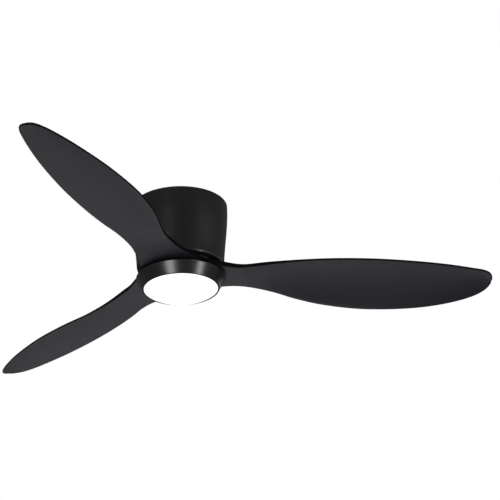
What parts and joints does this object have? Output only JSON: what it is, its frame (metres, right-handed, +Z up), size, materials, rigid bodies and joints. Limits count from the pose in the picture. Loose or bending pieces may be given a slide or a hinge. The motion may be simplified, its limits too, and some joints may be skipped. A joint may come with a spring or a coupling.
{
  "type": "ceiling fan with light",
  "caption": "Flush-mounted ceiling fan: round housing against the ceiling, wide pitched blades turning below it, and a round opal LED light underneath.",
  "frame": {"origin": "centre of the ceiling bracket's upper face, in the plane of the ceiling", "axes": "+Z up into the ceiling along the rotor's axis, the fan hangs towards -Z, -Y towards the viewer of the picture"},
  "size_m": [1.0665, 1.1449, 0.2046],
  "materials": {
    "black_paint": "satin black powder coat",
    "blade_plastic": "fine satin moulded charcoal",
    "cast_aluminium": "die cast",
    "zinc_steel": "zinc plated",
    "dark_steel": "black zinc",
    "bearing_steel": "ground",
    "brass": "pressed",
    "laminations": "stacked sheet",
    "copper": "varnished wire",
    "magnet": "sintered ferrite",
    "black_rubber": "matt",
    "white_plastic": "moulded",
    "white_steel": "white enamel",
    "circuit_green": "solder mask",
    "black_cable": "smooth jacket",
    "white_cable": "smooth jacket",
    "opal": "opal diffuser, lit from inside"
  },
  "bodies": {
    "fixture": {"ceiling_bracket": "zinc_steel", "motor_hanger": "zinc_steel", "hanger_screw_1": "dark_steel", "hanger_screw_2": "dark_steel", "hanger_screw_3": "dark_steel", "shaft_lock_screw": "dark_steel", "housing_shell": "black_paint", "housing_screw_1": "black_paint", "housing_screw_2": "black_paint", "motor_shaft": "zinc_steel", "upper_bearing_inner_race": "bearing_steel", "lower_bearing_inner_race": "bearing_steel", "stator_core": "laminations", "stator_windings": "copper", "control_box": "white_plastic", "control_box_lid": "white_plastic", "control_board": "circuit_green", "terminal_block": "white_plastic", "motor_cable": "black_cable", "light_cable": "white_cable", "supply_lead": "black_cable", "light_fitter": "zinc_steel", "light_pan": "black_paint", "pan_screw_1": "dark_steel", "pan_screw_2": "dark_steel", "pan_screw_3": "dark_steel", "shaft_nut": "zinc_steel", "led_driver": "white_plastic", "led_tray": "white_steel", "tray_screw_1": "dark_steel", "tray_screw_2": "dark_steel", "tray_screw_3": "dark_steel", "led_board": "white_steel"},
    "rotor": {"upper_bearing_outer_race": "bearing_steel", "lower_bearing_outer_race": "bearing_steel", "motor_upper_cover": "cast_aluminium", "motor_lower_cover": "cast_aluminium", "rotor_magnet_ring": "magnet", "motor_cover_screw_1": "dark_steel", "motor_cover_screw_2": "dark_steel", "motor_cover_screw_3": "dark_steel", "blade_hub": "cast_aluminium", "hub_screw_1": "dark_steel", "hub_screw_2": "dark_steel", "hub_screw_3": "dark_steel", "blade_1": "blade_plastic", "blade_gasket_1": "black_rubber", "blade_2": "blade_plastic", "blade_gasket_2": "black_rubber", "blade_3": "blade_plastic", "blade_gasket_3": "black_rubber", "blade_screw_1": "dark_steel", "blade_screw_2": "dark_steel", "blade_screw_3": "dark_steel", "blade_screw_4": "dark_steel", "blade_screw_5": "dark_steel", "blade_screw_6": "dark_steel"},
    "upper_ball_cage": {"upper_bearing_cage": "brass"},
    "lower_ball_cage": {"lower_bearing_cage": "brass"},
    "lens": {"lens": "opal"}
  },
  "joints": [
    {"name": "rotor_spin", "type": "hinge", "parent": "fixture", "child": "rotor", "pos_m": [0, 0, -0.08], "axis": [0, 0, 1], "continuous": true},
    {"name": "upper_cage_spin", "type": "hinge", "parent": "fixture", "child": "upper_ball_cage", "pos_m": [0, 0, -0.052], "axis": [0, 0, 1], "continuous": true},
    {"name": "lower_cage_spin", "type": "hinge", "parent": "fixture", "child": "lower_ball_cage", "pos_m": [0, 0, -0.11], "axis": [0, 0, 1], "continuous": true},
    {"name": "lens_twist", "type": "hinge", "parent": "fixture", "child": "lens", "pos_m": [0, 0, -0.181], "axis": [0, 0, 1], "range_deg": [0, 25]}
  ],
  "couplings": [
    {"joint": "upper_cage_spin", "follows": "rotor_spin", "ratio": 0.6},
    {"joint": "lower_cage_spin", "follows": "rotor_spin", "ratio": 0.6}
  ]
}
